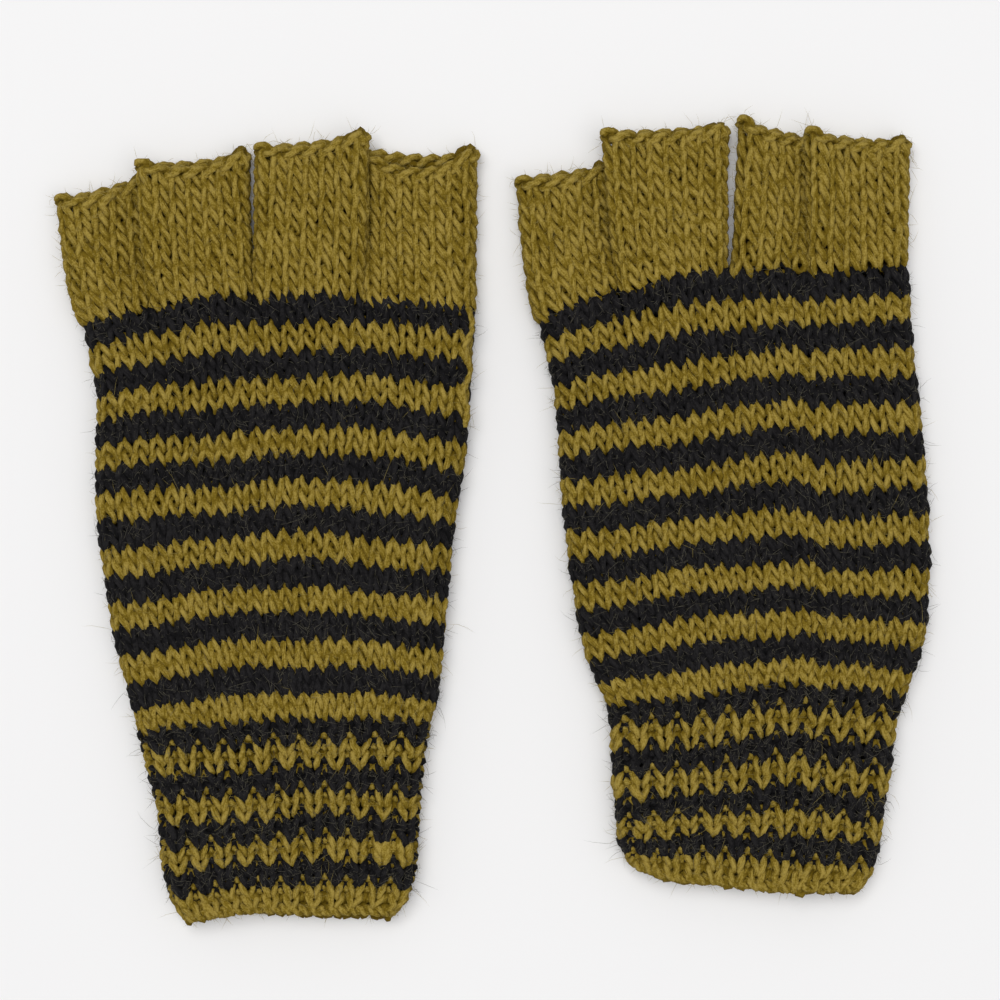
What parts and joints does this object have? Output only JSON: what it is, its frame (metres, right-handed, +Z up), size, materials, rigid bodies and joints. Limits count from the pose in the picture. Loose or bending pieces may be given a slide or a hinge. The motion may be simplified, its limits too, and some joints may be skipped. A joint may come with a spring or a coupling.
{
  "type": "fingerless gloves",
  "caption": "Pair of hand-knitted fingerless gloves with striped hands, ribbed cuffs, open finger tubes and a palm thumb opening, lying flat.",
  "frame": {"origin": "middle of the pair's box, on the surface that the gloves lie on", "axes": "+Y towards the fingertips, +X to the right as seen from above, +Z up, out of the backs of the hands"},
  "size_m": [0.2218, 0.2, 0.011],
  "materials": {
    "olive_wool": "stockinette in soft olive wool",
    "dark_wool": "stockinette in fuzzy navy-black wool",
    "olive_rib_wool": "one by one rib in soft olive wool",
    "dark_rib_wool": "one by one rib in fuzzy navy-black wool",
    "olive_bound_edge": "bound-off chain edge in olive wool"
  },
  "bodies": {
    "left_hand": {"left_hand_dark_1": "dark_wool", "left_hand_olive_1": "olive_wool", "left_hand_dark_2": "dark_wool", "left_hand_olive_2": "olive_wool", "left_hand_dark_3": "dark_wool", "left_hand_olive_3": "olive_wool", "left_hand_dark_4": "dark_wool", "left_hand_olive_4": "olive_wool", "left_hand_dark_5": "dark_wool", "left_hand_olive_5": "olive_wool", "left_hand_dark_6": "dark_wool", "left_hand_olive_6": "olive_wool", "left_hand_dark_7": "dark_wool", "left_hand_olive_7": "olive_wool", "left_hand_dark_8": "dark_wool", "left_hand_olive_8": "olive_wool", "left_thumb_rim": "olive_bound_edge"},
    "left_cuff": {"left_cuff_dark": "dark_rib_wool", "left_cuff_olive": "olive_rib_wool", "left_cuff_hem": "olive_rib_wool"},
    "left_pinky": {"left_pinky_tube": "olive_wool", "left_pinky_bound_edge": "olive_bound_edge"},
    "left_ring": {"left_ring_tube": "olive_wool", "left_ring_bound_edge": "olive_bound_edge"},
    "left_middle": {"left_middle_tube": "olive_wool", "left_middle_bound_edge": "olive_bound_edge"},
    "left_index": {"left_index_tube": "olive_wool", "left_index_bound_edge": "olive_bound_edge"},
    "right_hand": {"right_hand_dark_1": "dark_wool", "right_hand_olive_1": "olive_wool", "right_hand_dark_2": "dark_wool", "right_hand_olive_2": "olive_wool", "right_hand_dark_3": "dark_wool", "right_hand_olive_3": "olive_wool", "right_hand_dark_4": "dark_wool", "right_hand_olive_4": "olive_wool", "right_hand_dark_5": "dark_wool", "right_hand_olive_5": "olive_wool", "right_hand_dark_6": "dark_wool", "right_hand_olive_6": "olive_wool", "right_hand_dark_7": "dark_wool", "right_hand_olive_7": "olive_wool", "right_hand_dark_8": "dark_wool", "right_hand_olive_8": "olive_wool", "right_thumb_rim": "olive_bound_edge"},
    "right_cuff": {"right_cuff_dark": "dark_rib_wool", "right_cuff_olive": "olive_rib_wool", "right_cuff_hem": "olive_rib_wool"},
    "right_index": {"right_index_tube": "olive_wool", "right_index_bound_edge": "olive_bound_edge"},
    "right_middle": {"right_middle_tube": "olive_wool", "right_middle_bound_edge": "olive_bound_edge"},
    "right_ring": {"right_ring_tube": "olive_wool", "right_ring_bound_edge": "olive_bound_edge"},
    "right_pinky": {"right_pinky_tube": "olive_wool", "right_pinky_bound_edge": "olive_bound_edge"}
  },
  "joints": [
    {"name": "left_pinky_fold", "type": "hinge", "parent": "left_hand", "child": "left_pinky", "pos_m": [-0.0947, 0.05145, 0.011], "axis": [1, 0, 0], "range_deg": [0, 90]},
    {"name": "left_ring_fold", "type": "hinge", "parent": "left_hand", "child": "left_ring", "pos_m": [-0.0735, 0.05504, 0.011], "axis": [1, 0, 0], "range_deg": [0, 90]},
    {"name": "left_middle_fold", "type": "hinge", "parent": "left_hand", "child": "left_middle", "pos_m": [-0.0472, 0.05738, 0.011], "axis": [1, 0, 0], "range_deg": [0, 90]},
    {"name": "left_index_fold", "type": "hinge", "parent": "left_hand", "child": "left_index", "pos_m": [-0.0189, 0.05648, 0.011], "axis": [1, 0, 0], "range_deg": [0, 90]},
    {"name": "left_cuff_fold", "type": "hinge", "parent": "left_hand", "child": "left_cuff", "pos_m": [-0.0528, -0.0498, 0.011], "axis": [-1, 0, 0], "range_deg": [0, 90]},
    {"name": "right_index_fold", "type": "hinge", "parent": "right_hand", "child": "right_index", "pos_m": [0.0229, 0.05537, 0.011], "axis": [1, 0, 0], "range_deg": [0, 90]},
    {"name": "right_middle_fold", "type": "hinge", "parent": "right_hand", "child": "right_middle", "pos_m": [0.047, 0.0606, 0.011], "axis": [1, 0, 0], "range_deg": [0, 90]},
    {"name": "right_ring_fold", "type": "hinge", "parent": "right_hand", "child": "right_ring", "pos_m": [0.0699, 0.06299, 0.011], "axis": [1, 0, 0], "range_deg": [0, 90]},
    {"name": "right_pinky_fold", "type": "hinge", "parent": "right_hand", "child": "right_pinky", "pos_m": [0.0926, 0.06297, 0.011], "axis": [1, 0, 0], "range_deg": [0, 90]},
    {"name": "right_cuff_fold", "type": "hinge", "parent": "right_hand", "child": "right_cuff", "pos_m": [0.06582, -0.0442, 0.011], "axis": [-1, 0, 0], "range_deg": [0, 90]},
    {"name": "right_glove_slide", "type": "slide", "parent": "left_hand", "child": "right_hand", "axis": [1, 0, 0], "range_m": [0, 0.08]}
  ]
}
